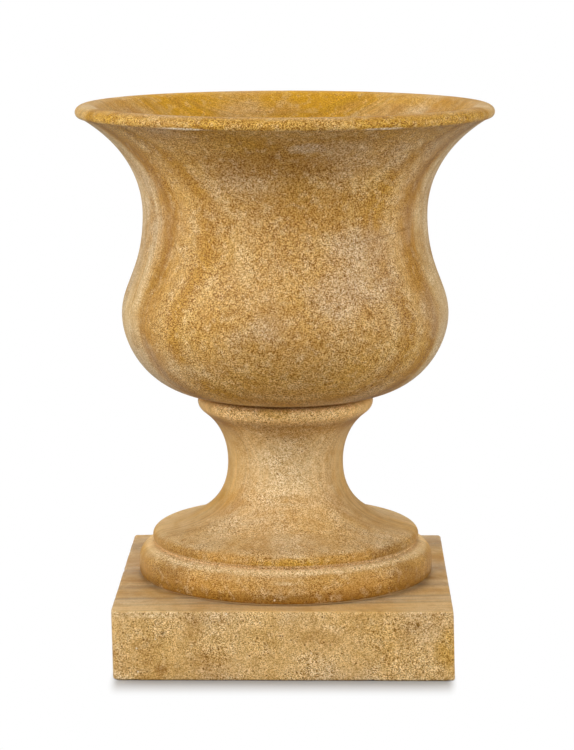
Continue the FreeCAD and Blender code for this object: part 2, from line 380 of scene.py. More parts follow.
def make_stone(
    name, beds, patches, cracks=(), *, shift, coarse_before, coarse_grain, fine_grain, dust, worn, staining
):
    """Bedded sandstone for one block. Beds give its tone at each depth in millimetres, front to back, and it
    is coarse before one depth; the grain shows at one strength there and at another elsewhere. Shift is the
    stretch of bed that it was cut from, and worn is how far what faces upwards is rubbed smooth. Patches are
    marks as tone, centre, reach and strength, and cracks run from one point to another at a strength."""
    material, add = new_material(name)
    here = add("ShaderNodeTexCoord").outputs["Object"]
    place = vector_maths(add, "ADD", here, (shift, 0.0, shift))

    def effect(group, place, inputs):
        return add("ShaderNodeGroup", {"Place": place} | inputs, node_tree=group).outputs

    def tint(share, colour, tone):
        return blend_colour(add, share, colour, tone + (1.0,))

    def lay(colour, source, low, high, strength, tone):
        """Lays a tone over the colour where the source passes from low to high."""
        return tint(between(add, source, low, high, 0.0, strength), colour, tone)

    bedding = effect(bed_group, place, {"Coarse Before": coarse_before * MM})
    grain = effect(
        grain_group,
        place,
        {
            "Coarseness": bedding["Coarse"],
            "Coarse Strength": coarse_grain,
            "Fine Strength": fine_grain,
        },
    )
    pores = effect(fleck_group, place, {"Spacing": 0.0055, "Share": 0.4, "Radius": 0.17})
    flecks = effect(fleck_group, place, {"Spacing": 0.017, "Share": 0.1, "Radius": 0.06})
    dusty = effect(dust_group, place, {"Amount": dust})
    cloud = noise_at(add, place, CLOUD_SCALE, 3.0)
    stain = noise_at(add, place, STAIN_SCALE, 3.0)
    mottle = noise_at(add, place, MOTTLE_SCALE, 3.0)

    ramp = add("ShaderNodeValToRGB", {"Fac": between_evenly(add, bedding["Depth"], BEDS_FRONT, BEDS_BACK)})
    stops = ramp.color_ramp.elements
    for (depth, tone), end in zip((beds[0], beds[-1]), (0, 1)):
        stops[end].position = (depth * MM - BEDS_FRONT) / (BEDS_BACK - BEDS_FRONT)
        stops[end].color = tone + (1.0,)
    for depth, tone in beds[1:-1]:
        stops.new((depth * MM - BEDS_FRONT) / (BEDS_BACK - BEDS_FRONT)).color = tone + (1.0,)
    packet = bedding["Packet"]
    browner = times(add, between(add, bedding["Broad"], 0.47, 0.33, 0.0, 0.6), packet)
    paler = times(add, between(add, bedding["Broad"], 0.53, 0.67, 0.0, 0.5), packet)
    colour = tint(paler, tint(browner, ramp.outputs["Color"], RUST), CREAM)
    colour = lay(colour, cloud, 0.48, 0.66, 0.4, ASH)
    colour = lay(colour, cloud, 0.5, 0.34, 0.22, AMBER)
    colour = lay(colour, stain, 0.5, 0.66, staining, RUST)
    colour = tint(dusty["Mask"], colour, DUST)
    for tone, centre, reach, strength in patches:
        mask = effect(patch_group, here, {"Centre": centre, "Reach": reach})["Mask"]
        colour = tint(times(add, mask, strength), colour, tone)
    colour = lay(colour, mottle, 0.5, 0.68, 0.25, PALE)
    colour = lay(colour, mottle, 0.5, 0.32, 0.28, RUST)
    smoothed = times(add, dusty["Lying"], worn)
    streaks = times(add, packet, maths(add, "MULTIPLY_ADD", smoothed, 2.0, 1.0))
    shade = maths(add, "MULTIPLY_ADD", between(add, bedding["Fine"], 0.34, 0.66, -0.12, 0.06), streaks, 1.0)
    colour = blend_colour(add, 1.0, colour, shade, "MULTIPLY")
    rough = minus(add, 1.0, smoothed)
    grain_tone = tint(times(add, grain["Dark"], rough), WHITE, DARK_GRAIN)
    grain_tone = tint(times(add, grain["Pale"], rough), grain_tone, PALE_GRAIN)
    colour = blend_colour(add, 1.0, colour, grain_tone, "MULTIPLY")
    pitted = times(add, pores["Mask"], times(add, rough, bedding["Coarse"]))
    colour = tint(pitted, colour, PORE)
    colour = tint(times(add, flecks["Mask"], 0.6), colour, WHITE_FLECK_AND_PAINTED_GLINT)
    for start, end, strength in cracks:
        mask = effect(crack_group, here, {"Start": start, "End": end})["Mask"]
        colour = tint(times(add, mask, strength), colour, PORE)

    roughness = maths(add, "MULTIPLY_ADD", grain["Relief"], GRAIN_ROUGHNESS, STONE_ROUGHNESS)
    roughness = maths(add, "MULTIPLY_ADD", dusty["Mask"], DUST_ROUGHNESS, roughness)
    height = minus(add, times(add, grain["Relief"], rough), pitted)
    finish = {"Base Color": colour, "Roughness": roughness, "Specular IOR Level": STONE_SHEEN}
    give_surface(add, finish, height, GRAIN_BUMP, GRAIN_RELIEF)
    return material


BORE_RADIUS = 7.0 * MM
RECESS_RADIUS = 21.0 * MM
PLINTH_STEP = 3.0 * MM
PLINTH_ARRIS = 1.7 * MM
PLINTH_ARRIS_CUTS = 6
PLINTH_CORNERS = {(-1, -1): 7.5 * MM, (1, -1): 3.0 * MM, (-1, 1): 4.5 * MM, (1, 1): 4.0 * MM}
PLINTH_LEAN_LEFT = 0.9 * MM
PLINTH_LEAN_RIGHT = 1.8 * MM
PLINTH_RECESS_DEPTH = 19.0 * MM
PLINTH_WAVE = 0.35 * MM
PLINTH_WAVE_SCALE = 22.0
PLINTH_CHIP = 1.1 * MM
PLINTH_CHIP_REACH = 2.2 * PLINTH_ARRIS
PLINTH_CHIP_DIP = 0.7
PLINTH_CHIP_SCALE = 95.0
PLINTH_CHIP_START = 0.18
PLINTH_PIT_SCALE = 210.0
PLINTH_PIT_START = 0.2
DRILL_CUTS = 96
WELD = 0.02 * MM


def stations(low, high, step, edge):
    """Cuts along one side of a block, close together where its arrises are rounded."""
    inner = max(2, round((high - low - 2 * edge) / step))
    middle = np.linspace(low + edge, high - edge, inner + 1)
    near = edge * (1.0 - np.cos(np.linspace(0.0, math.pi / 2, PLINTH_ARRIS_CUTS, endpoint=False)))
    return np.concatenate([low + near, middle, high - near[::-1]])


def draw_in(reach):
    """Brings a point of a square corner onto its round: reach is how far it stands past the core."""
    length = math.hypot(*reach)
    if length == 0.0:
        return reach
    return [part * max(reach) / length for part in reach]


def dress(place, low, high):
    """Where a point of the sawn block lies once its arrises and upright corners are rubbed round."""
    middle = (low + high) / 2
    half = (high - low) / 2
    offset = [place[axis] - middle[axis] for axis in range(3)]
    sign = [1 if part > 0 else -1 for part in offset]
    core = [side - PLINTH_ARRIS for side in half]
    reach = draw_in([max(0.0, abs(offset[axis]) - core[axis]) for axis in range(3)])
    size = [min(abs(offset[axis]), core[axis]) + reach[axis] for axis in range(3)]
    corner = PLINTH_CORNERS[(sign[0], sign[1])]
    core = [half[0] - corner, half[1] - corner]
    if size[0] > core[0] and size[1] > core[1]:
        reach = draw_in([size[0] - core[0], size[1] - core[1]])
        size[0] = core[0] + reach[0]
        size[1] = core[1] + reach[1]
    return Vector([middle[axis] + sign[axis] * size[axis] for axis in range(3)])


def wear(place, low, high):
    """Chips along the arrises, a slight lean of the side faces and the wave that hand rubbing leaves."""
    height = (place.z - low.z) / (high.z - low.z)
    to_side = min(place.x - low.x, high.x - place.x, place.y - low.y, high.y - place.y)
    to_end = min(high.z - place.z, place.z - low.z)
    near_arris = max(0.0, 1.0 - (to_side + to_end) / PLINTH_CHIP_REACH)
    middle = (low + high) / 2
    inwards = Vector((middle.x - place.x, middle.y - place.y, 0.0)).normalized()
    inwards.z = -PLINTH_CHIP_DIP if height > 0.5 else PLINTH_CHIP_DIP
    chip = max(0.0, noise.noise(place * PLINTH_CHIP_SCALE) - PLINTH_CHIP_START)
    pit = max(0.0, noise.noise(place * PLINTH_PIT_SCALE) - PLINTH_PIT_START)
    place = place + inwards * (PLINTH_CHIP * near_arris * (chip + 0.5 * pit))
    if place.x > middle.x:
        place.x -= PLINTH_LEAN_RIGHT * height
    else:
        place.x += PLINTH_LEAN_LEFT * (1.0 - height)
    wave = PLINTH_WAVE * (0.5 + 0.5 * noise.noise(place * PLINTH_WAVE_SCALE))
    place.x -= (place.x - middle.x) / (high.x - middle.x) * wave
    place.y -= (place.y - middle.y) / (high.y - middle.y) * wave
    return place


def make_block(name, low, high):
    """A block as six gridded faces, joined along their edges, dressed and worn."""
    cuts = [stations(low[axis], high[axis], PLINTH_STEP, PLINTH_ARRIS) for axis in range(3)]
    block = bmesh.new()
    for axis in range(3):
        first, second = (axis + 1) % 3, (axis + 2) % 3
        for level in (low[axis], high[axis]):
            rows = []
            for across in cuts[first]:
                row = []
                for along in cuts[second]:
                    place = [0.0] * 3
                    place[axis], place[first], place[second] = level, across, along
                    row.append(block.verts.new(wear(dress(place, low, high), low, high)))
                rows.append(row)
            for one, other in zip(rows, rows[1:]):
                for step in range(len(one) - 1):
                    block.faces.new((one[step], one[step + 1], other[step + 1], other[step]))
    return finish_piece(name, block, smooth=True)


def finish_piece(name, shape, smooth):
    """Welds and closes a worked mesh, faces it outwards and makes it an object at the origin."""
    bmesh.ops.remove_doubles(shape, verts=shape.verts, dist=WELD)
    bmesh.ops.holes_fill(shape, edges=shape.edges)
    bmesh.ops.recalc_face_normals(shape, faces=shape.faces)
    mesh = bpy.data.meshes.new(name)
    shape.to_mesh(mesh)
    shape.free()
    mesh.polygons.foreach_set("use_smooth", [smooth] * len(mesh.polygons))
    return new_object(name, mesh)


def made_mesh(thing):
    """The mesh that an object's modifiers make."""
    graph = bpy.context.evaluated_depsgraph_get()
    return bpy.data.meshes.new_from_object(thing.evaluated_get(graph))


def drill_out(block, low, high):
    """Cuts the rod's bore through the block, and the recess for its nut from below."""
    tool = bmesh.new()
    for radius, bottom, top in (
        (BORE_RADIUS, low.z - MM, high.z + MM),
        (RECESS_RADIUS, low.z - MM, low.z + PLINTH_RECESS_DEPTH),
    ):
        place = Matrix.Translation((0.0, 0.0, (bottom + top) / 2))
        bmesh.ops.create_cone(
            tool,
            cap_ends=True,
            segments=DRILL_CUTS,
            radius1=radius,
            radius2=radius,
            depth=top - bottom,
            matrix=place,
        )
    drill_mesh = bpy.data.meshes.new("drill")
    tool.to_mesh(drill_mesh)
    tool.free()
    drill = new_object("drill", drill_mesh)
    bored = block.modifiers.new("bored", "BOOLEAN")
    bored.operation = "DIFFERENCE"
    bored.solver = "EXACT"
    bored.use_self = True
    bored.object = drill
    mesh = made_mesh(block)
    block.modifiers.clear()
    block.data = mesh
    bpy.data.objects.remove(drill)


plinth_low, plinth_high = (Vector(corner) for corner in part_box("plinth"))
plinth = make_block("plinth_block", plinth_low, plinth_high)
drill_out(plinth, plinth_low, plinth_high)
PLINTH_BEDS = (
    (-160, BUFF),
    (-149, BUFF),
    (-145, CREAM),
    (-141, DUN),
    (-137, PALE),
    (-131, ASH),
    (-125, PALE),
    (-119, DUN),
    (-112, CREAM),
    (-98, OCHRE),
    (-88, CREAM),
    (-76, DUN),
    (-64, PALE),
    (-50, RUST),
    (-36, CREAM),
    (-16, DUN),
    (4, ASH),
    (26, RUST),
    (54, CREAM),
    (90, DUN),
    (120, ASH),
    (160, BUFF),
)
PLINTH_PATCHES = (
    (PORE, (0.119, -0.153, 0.051), (0.0026, 0.006, 0.003), 0.9),
    (PORE, (-0.106, -0.153, 0.043), (0.0024, 0.006, 0.002), 0.8),
    (UMBER, (-0.108, -0.153, 0.01), (0.0075, 0.01, 0.006), 0.7),
    (AMBER, (0.146, -0.153, 0.028), (0.016, 0.02, 0.026), 0.6),
    (RUST, (-0.07, -0.153, 0.018), (0.022, 0.02, 0.008), 0.4),
    (RUST, (0.03, -0.153, 0.04), (0.03, 0.02, 0.009), 0.45),
    # Darker beside the moulding on both sides of the plinth's top: partly a stain, partly painted shadow from
    # the urn above.
    (DUN, (-0.135, 0.01, 0.063), (0.05, 0.16, 0.01), 0.35),
    (DUN, (0.14, 0.01, 0.063), (0.04, 0.15, 0.01), 0.2),
    # Painted light on the plinth top's front corners, where it lies open to the lamps.
    (PALE, (-0.13, -0.14, 0.063), (0.06, 0.035, 0.01), 0.6),
    (PALE, (0.135, -0.135, 0.063), (0.05, 0.03, 0.01), 0.5),
)
plinth_stone = make_stone(
    "plinth_stone",
    PLINTH_BEDS,
    PLINTH_PATCHES,
    shift=0.31,
    coarse_before=200.0,
    coarse_grain=0.9,
    fine_grain=0.5,
    dust=0.15,
    worn=0.75,
    staining=0.35,
)
plinth.data.materials.append(plinth_stone)
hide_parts("plinth")
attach(plinth, "root")


# Foot
# One stone, turned on the lathe: base moulding with a round shoulder, fillet, thin disc, waisted stem
# and collar. It sits on a bed of stone resin and is bored through for the tie rod.
TURNED_STEP = 5.0 * MM
TURNED_BEND = math.radians(7.0)
TURNED_EASING = 0.55 * MM
TURNED_CUTS = 300
CURVE_STEPS = 40
FINE_STEP = 0.25 * MM
EASING_STEPS = 12
SHELL_WELD = 0.001 * MM


def bend(outline, leave, arrive, end):
    """Adds a smooth curve to a turned outline: it leaves along one vector and arrives along another."""
    start = outline[-1]
    end = Vector(end)
    points = geometry.interpolate_bezier(start, start + Vector(leave), end - Vector(arrive), end, CURVE_STEPS)
    outline.extend(points[1:])


def run(outline, *ends):
    outline.extend(Vector(end) for end in ends)


def slope(angle, reach):
    """A vector of this length that climbs outwards at this angle."""
    return Vector((reach * math.cos(angle), reach * math.sin(angle)))


# Share of a side that a quarter ellipse's handle takes
QUARTER = 4.0 / 3.0 * (math.sqrt(2.0) - 1.0)


def quarter(outline, end, level_first):
    """A quarter ellipse from the outline's last point, leaving level or upright."""
    width = end[0] - outline[-1].x
    height = end[1] - outline[-1].y
    level = (QUARTER * width, 0.0)
    upright = (0.0, QUARTER * height)
    bend(outline, level if level_first else upright, upright if level_first else level, end)


def rub_down(outline, easing=TURNED_EASING):
    """The closed outline with its edges eased, and with points only where it bends or runs long."""
    corners = np.array([tuple(point) for point in outline] + [tuple(outline[0])])
    lengths = np.hypot(*np.diff(corners, axis=0).T)
    travelled = np.concatenate([[0.0], np.cumsum(lengths)])
    count = int(travelled[-1] / FINE_STEP)
    along = np.linspace(0.0, travelled[-1], count, endpoint=False)
    fine = np.stack([np.interp(along, travelled, corners[:, axis]) for axis in range(2)], axis=1)
    shifts = range(-EASING_STEPS, EASING_STEPS + 1)
    weight = np.exp(-0.5 * (np.array(shifts) * FINE_STEP / easing) ** 2)
    weight /= weight.sum()
    eased = sum(share * np.roll(fine, shift, axis=0) for share, shift in zip(weight, shifts))
    steps = np.roll(eased, -1, axis=0) - eased
    heading = np.arctan2(steps[:, 1], steps[:, 0])
    turning = np.abs((np.roll(heading, -1) - heading + math.pi) % (2 * math.pi) - math.pi)
    cost = np.cumsum(np.hypot(*steps.T) / TURNED_STEP + turning / TURNED_BEND)
    chosen = np.unique(np.searchsorted(cost, np.arange(0.0, cost[-1], 1.0)))
    return eased[chosen]


def make_turning_tree():
    """Turns an outline about the upright axis, and lets its surface wander slightly inwards."""
    tree = bpy.data.node_groups.new("turning", "GeometryNodeTree")
    tree.interface.new_socket("Geometry", in_out="OUTPUT", socket_type="NodeSocketGeometry")
    for socket_name, socket_type, value in (
        ("Outline", "NodeSocketObject", None),
        ("Cuts Round", "NodeSocketInt", TURNED_CUTS),
        ("Unevenness", "NodeSocketFloat", 0.2 * MM),
        ("Unevenness Scale", "NodeSocketFloat", 18.0),
        ("Seed", "NodeSocketFloat", 0.0),
        ("Stone", "NodeSocketMaterial", None),
    ):
        socket = tree.interface.new_socket(socket_name, in_out="INPUT", socket_type=socket_type)
        if value is not None:
            socket.default_value = value
    add = adder(tree)
    given = add("NodeGroupInput").outputs
    outline = add("GeometryNodeObjectInfo", {"Object": given["Outline"]}).outputs["Geometry"]
    rings = add("GeometryNodeAttributeDomainSize", {"Geometry": outline}).outputs["Point Count"]
    rows = plus(add, rings, 1.0)
    columns = plus(add, given["Cuts Round"], 1.0)
    grid = add(
        "GeometryNodeMeshGrid",
        {"Size X": 1.0, "Size Y": 1.0, "Vertices X": rows, "Vertices Y": columns},
    ).outputs["Mesh"]
    square = parts_of(add, add("GeometryNodeInputPosition").outputs[0])
    ring = maths(add, "ROUND", times(add, plus(add, square["X"], 0.5), rings))
    ring = maths(add, "MODULO", ring, rings)
    angle = times(add, plus(add, square["Y"], 0.5), 2.0 * math.pi)
    sample = add(
        "GeometryNodeSampleIndex",
        {"Geometry": outline, "Index": ring},
        data_type="FLOAT_VECTOR",
    )
    tree.links.new(add("GeometryNodeInputPosition").outputs[0], sample.inputs["Value"])
    point = parts_of(add, sample.outputs["Value"])
    across, back = (times(add, point["X"], maths(add, part, angle)) for part in ("COSINE", "SINE"))
    turned_place = vector_of(add, across, back, point["Z"])
    shell = add("GeometryNodeSetPosition", {"Geometry": grid, "Position": turned_place}).outputs[0]
    shell = add("GeometryNodeMergeByDistance", {"Geometry": shell, "Distance": SHELL_WELD}).outputs[0]
    shell = add("GeometryNodeFlipFaces", {"Mesh": shell}).outputs[0]
    wander = add(
        "ShaderNodeTexNoise",
        {"Scale": given["Unevenness Scale"], "W": given["Seed"], "Detail": 2.0},
        noise_dimensions="4D",
    ).outputs["Fac"]
    inwards = times(add, wander, times(add, given["Unevenness"], -1.0))
    inwards = vector_maths(add, "SCALE", add("GeometryNodeInputNormal").outputs[0], inwards)
    shell = add("GeometryNodeSetPosition", {"Geometry": shell, "Offset": inwards}).outputs[0]
    shell = add("GeometryNodeSetShadeSmooth", {"Geometry": shell}).outputs[0]
    shell = add("GeometryNodeRealizeInstances", {"Geometry": shell}).outputs[0]
    shell = add("GeometryNodeSetMaterial", {"Geometry": shell, "Material": given["Stone"]}).outputs[0]
    add("NodeGroupOutput", {"Geometry": shell})
    return tree


turning_tree = make_turning_tree()


def turn(name, outline, material, seed, unevenness=0.2 * MM, cuts=TURNED_CUTS):
    """Turns the outline into a plain mesh piece of this material."""
    guide_mesh = bpy.data.meshes.new(name + "_outline")
    guide_mesh.from_pydata([(point[0], 0.0, point[1]) for point in outline], [], [])
    guide = new_object(name + "_outline", guide_mesh)
    blank = new_object(name + "_blank", bpy.data.meshes.new(name + "_blank"))
    modifier = blank.modifiers.new("turning", "NODES")
    modifier.node_group = turning_tree
    values = {
        "Outline": guide,
        "Cuts Round": cuts,
        "Unevenness": unevenness,
        "Seed": seed,
        "Stone": material,
    }
    for item in turning_tree.interface.items_tree:
        if item.in_out == "INPUT" and item.name in values:
            modifier[item.identifier] = values[item.name]
    mesh = made_mesh(blank)
    mesh.name = name
    for helper in (blank, guide):
        bpy.data.objects.remove(helper)
    return new_object(name, mesh)


foot_low, foot_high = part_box("foot")
FOOT_BASE = foot_low[2]
FOOT_TOP = foot_high[2]
BASE_RADIUS = foot_high[0]
BASE_HEIGHT = 28.9 * MM
BASE_SHOULDER_WIDTH = 14.4 * MM
BASE_SHOULDER_HEIGHT = 14.4 * MM
BASE_TOE_WIDTH = 3.0 * MM
BASE_TOE_HEIGHT = 5.0 * MM
LEDGE_WIDTH = 2.0 * MM
FILLET_HEIGHT = 0.9 * MM
DISC_OVERHANG = 3.7 * MM
DISC_LOWER_HEIGHT = 5.9 * MM
DISC_UPPER_HEIGHT = 8.4 * MM
DISC_SHOULDER_WIDTH = 9.6 * MM
SHOULDER_SLOPE = math.radians(11.8)
SHOULDER_REACH = 39.9 * MM
NECK_RADIUS = 53.5 * MM
NECK_RISE = 60.0 * MM
NECK_REACH_DOWN = 33.4 * MM
NECK_REACH_UP = 19.9 * MM
COLLAR_RADIUS = 81.2 * MM
COLLAR_ROOT_WIDTH = 7.0 * MM
COLLAR_ROOT_SLOPE = math.radians(38.3)
COLLAR_ROOT_REACH = 17.2 * MM
COLLAR_LOWER_HEIGHT = 11.2 * MM
COLLAR_UPPER_HEIGHT = 4.3 * MM
COLLAR_TOP_WIDTH = 6.3 * MM


def foot_outline():
    """The foot's outline, from the bore's lower end out and up to the collar and back to the bore."""
    toe = BASE_RADIUS - BASE_TOE_WIDTH
    moulding_top = FOOT_BASE + BASE_HEIGHT
    ledge = BASE_RADIUS - BASE_SHOULDER_WIDTH
    fillet = ledge - LEDGE_WIDTH
    disc_foot = moulding_top + FILLET_HEIGHT
    disc_edge = (fillet + DISC_OVERHANG, disc_foot + DISC_LOWER_HEIGHT)
    shoulder = (disc_edge[0] - DISC_SHOULDER_WIDTH, disc_edge[1] + DISC_UPPER_HEIGHT)
    collar_edge = (COLLAR_RADIUS, FOOT_TOP - COLLAR_UPPER_HEIGHT)
    root = (COLLAR_RADIUS - COLLAR_ROOT_WIDTH, collar_edge[1] - COLLAR_LOWER_HEIGHT)
    back = slope(-SHOULDER_SLOPE, -1.0)
    flare = slope(COLLAR_ROOT_SLOPE, 1.0)
    outline = [Vector((BORE_RADIUS, FOOT_BASE))]
    run(outline, (toe, FOOT_BASE))
    quarter(outline, (BASE_RADIUS, FOOT_BASE + BASE_TOE_HEIGHT), True)
    run(outline, (BASE_RADIUS, moulding_top - BASE_SHOULDER_HEIGHT))
    quarter(outline, (ledge, moulding_top), False)
    run(outline, (fillet, moulding_top), (fillet, disc_foot))
    quarter(outline, disc_edge, True)
    bend(outline, (0.0, QUARTER * DISC_UPPER_HEIGHT), back * QUARTER * DISC_SHOULDER_WIDTH, shoulder)
    bend(outline, back * SHOULDER_REACH, (0.0, NECK_REACH_DOWN), (NECK_RADIUS, shoulder[1] + NECK_RISE))
    bend(outline, (0.0, NECK_REACH_UP), flare * COLLAR_ROOT_REACH, root)
    bend(outline, flare * QUARTER * COLLAR_ROOT_WIDTH, (0.0, QUARTER * COLLAR_LOWER_HEIGHT), collar_edge)
    quarter(outline, (COLLAR_RADIUS - COLLAR_TOP_WIDTH, FOOT_TOP), False)
    run(outline, (BORE_RADIUS, FOOT_TOP))
    return outline


FOOT_BEDS = (
    (-145, RUST),
    (-128, OCHRE),
    (-104, OCHRE),
    (-94, UMBER),
    (-80, RUST),
    (-58, AMBER),
    (-40, OCHRE),
    (-15, CREAM),
    (70, HONEY),
    (140, OCHRE),
)
FOOT_PATCHES = (
    (PALE, (0.029, -0.046, 0.185), (0.002, 0.008, 0.004), 0.9),
    (CREAM, (0.0, 0.0, 0.175), (0.2, 0.2, 0.06), 0.7),
    (PALE, (0.0, -0.054, 0.17), (0.05, 0.04, 0.045), 0.75),
    # The next four marks are painted light and shade: painted shade on the neck's front under the collar
    # (first and fourth), a painted light band round the collar and a painted shade band beneath it.
    (UMBER, (0.006, -0.058, 0.203), (0.03, 0.03, 0.006), 0.35),
    (PAINTED_LIGHT_STRAW, (0.0, 0.0, 0.225), (0.5, 0.5, 0.011), 0.85),
    (UMBER, (0.0, 0.0, 0.211), (0.3, 0.3, 0.005), 0.45),
    (RUST, (0.017, -0.064, 0.208), (0.04, 0.03, 0.009), 0.35),
    (AMBER, (-0.008, -0.08, 0.227), (0.02, 0.02, 0.0065), 0.45),
    (RUST, (0.012, -0.062, 0.144), (0.028, 0.02, 0.006), 0.45),
    (OCHRE, (0.0, 0.0, 0.078), (0.5, 0.5, 0.016), 0.7),
    (RUST, (0.0, 0.0, 0.072), (0.5, 0.5, 0.018), 0.3),
    (BARK, (0.0, 0.0, 0.065), (0.5, 0.5, 0.013), 0.8),
    (BARK, (-0.108, -0.088, 0.078), (0.036, 0.04, 0.019), 0.55),
    (BARK, (0.112, -0.082, 0.078), (0.032, 0.04, 0.019), 0.5),
    (OCHRE, (0.0, 0.0, 0.1), (0.5, 0.5, 0.005), 0.6),
    (BARK, (-0.092, -0.082, 0.0985), (0.038, 0.05, 0.011), 0.45),
    (BARK, (0.096, -0.076, 0.0985), (0.03, 0.05, 0.011), 0.6),
    (AMBER, (0.01, -0.122, 0.099), (0.05, 0.02, 0.006), 0.6),
    (UMBER, (0.052, -0.127, 0.072), (0.04, 0.03, 0.005), 0.5),
    # A paler band along the moulding's crest and ledge: partly the stone's pale worn ledge, partly a painted
    # highlight.
    (PALE, (0.0, 0.0, 0.0935), (0.5, 0.5, 0.0045), 0.9),
    (PAINTED_LIGHT_STRAW, (0.0, 0.0, 0.0935), (0.5, 0.5, 0.0045), 0.2),
    # A painted soft highlight and two painted glints on the front of the moulding's shoulder.
    (PALE, (0.002, -0.138, 0.084), (0.016, 0.008, 0.0026), 0.6),
    (WHITE_FLECK_AND_PAINTED_GLINT, (-0.0585, -0.128, 0.084), (0.002, 0.006, 0.0016), 0.9),
    (WHITE_FLECK_AND_PAINTED_GLINT, (0.058, -0.128, 0.082), (0.0026, 0.006, 0.0016), 0.8),
)
foot_stone = make_stone(
    "foot_stone",
    FOOT_BEDS,
    FOOT_PATCHES,
    shift=0.83,
    coarse_before=-95.0,
    coarse_grain=0.8,
    fine_grain=0.18,
    dust=0.6,
    worn=0.1,
    staining=0.3,
)
foot = turn("turned_foot", rub_down(foot_outline()), foot_stone, seed=3.0)
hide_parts("foot")
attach(foot, "root")


# Resin beds
# Thin rings of tinted stone resin under the foot and under the bowl, set back from the edge that shows,
# where they read as a dark line.
BED_SET_BACK = 0.8 * MM
BED_BULGE = 1.0 * MM
BED_EASING = 0.1 * MM
BED_CUTS = 180


def make_speckled(name, scale, detail, dark, pale, roughness, relief, **finish):
    """A material that varies finely between two colours. Its roughness is one number, or two between which
    it varies with the colour, and its relief is a strength and a depth."""
    material, add = new_material(name)
    grit = noise_at(add, add("ShaderNodeTexCoord").outputs["Object"], scale, detail)
    if isinstance(roughness, tuple):
        roughness = between(add, grit, 0.3, 0.7, *roughness)
    colour = blend_colour(add, grit, dark + (1.0,), pale + (1.0,))
    give_surface(add, {"Base Color": colour, "Roughness": roughness} | finish, grit, *relief)
    return material


resin = make_speckled(
    "stone_resin", 900.0, 2.0, (0.5, 0.31, 0.12), (0.78, 0.56, 0.28), 0.85, (0.5, 0.3 * MM)
)
for bed_name in ("foot_bed", "bowl_bed"):
    bed_low, bed_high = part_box(bed_name)
    edge = bed_high[0] - BED_SET_BACK
    ring_outline = [Vector((BORE_RADIUS, bed_low[2])), Vector((edge, bed_low[2]))]
    bend(ring_outline, (BED_BULGE, 0.0), (-BED_BULGE, 0.0), (edge, bed_high[2]))
    run(ring_outline, (BORE_RADIUS, bed_high[2]))
    ring_outline = rub_down(ring_outline, BED_EASING)
    bed = turn(bed_name + "_resin", ring_outline, resin, seed=5.0, unevenness=0.0, cuts=BED_CUTS)
    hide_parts(bed_name)
    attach(bed, "root")


# Bowl
# One stone, turned outside and hollowed inside: round belly, drawn-in waist and a flared, rolled lip.
# A recess in its floor takes the tie rod's upper nut.
bowl_low, bowl_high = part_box("bowl")
BOWL_BASE = bowl_low[2]
BOWL_TOP = bowl_high[2]
RIM_RADIUS = bowl_high[0]
SEAT_RADIUS = 73.6 * MM
UNDERSIDE_SLOPE = math.radians(4.1)
UNDERSIDE_REACH = 55.5 * MM
BELLY_RADIUS = 150.4 * MM
BELLY_HEIGHT = 75.5 * MM
BELLY_REACH_DOWN = 27.2 * MM
BELLY_REACH_UP = 27.7 * MM
WAIST_RADIUS = 130.4 * MM
WAIST_RISE = 91.8 * MM
WAIST_REACH_DOWN = 50.3 * MM
WAIST_REACH_UP = 33.9 * MM
FLARE_SLOPE = math.radians(31.5)
FLARE_REACH = 43.9 * MM
LIP_UNDERSIDE_WIDTH = 5.0 * MM
LIP_QUIRK = 1.0 * MM
LIP_LOWER_HEIGHT = 4.9 * MM
LIP_UPPER_HEIGHT = 6.8 * MM
LIP_CROWN_WIDTH = 10.0 * MM
LIP_INNER_WIDTH = 11.0 * MM
LIP_INNER_DROP = 3.5 * MM
LIP_INNER_SLOPE = math.radians(45.0)
LIP_INNER_REACH = 4.0 * MM
WAIST_WALL = 19.6 * MM
BELLY_WALL = 24.2 * MM
INNER_BELLY_REACH_DOWN = 24.0 * MM
INNER_FLARE_REACH = 40.0 * MM
FLOOR_RADIUS = 55.0 * MM
FLOOR_REACH = 45.0 * MM
FLOOR_UNDER_RECESS = 16.0 * MM
RECESS_DEPTH = 21.0 * MM


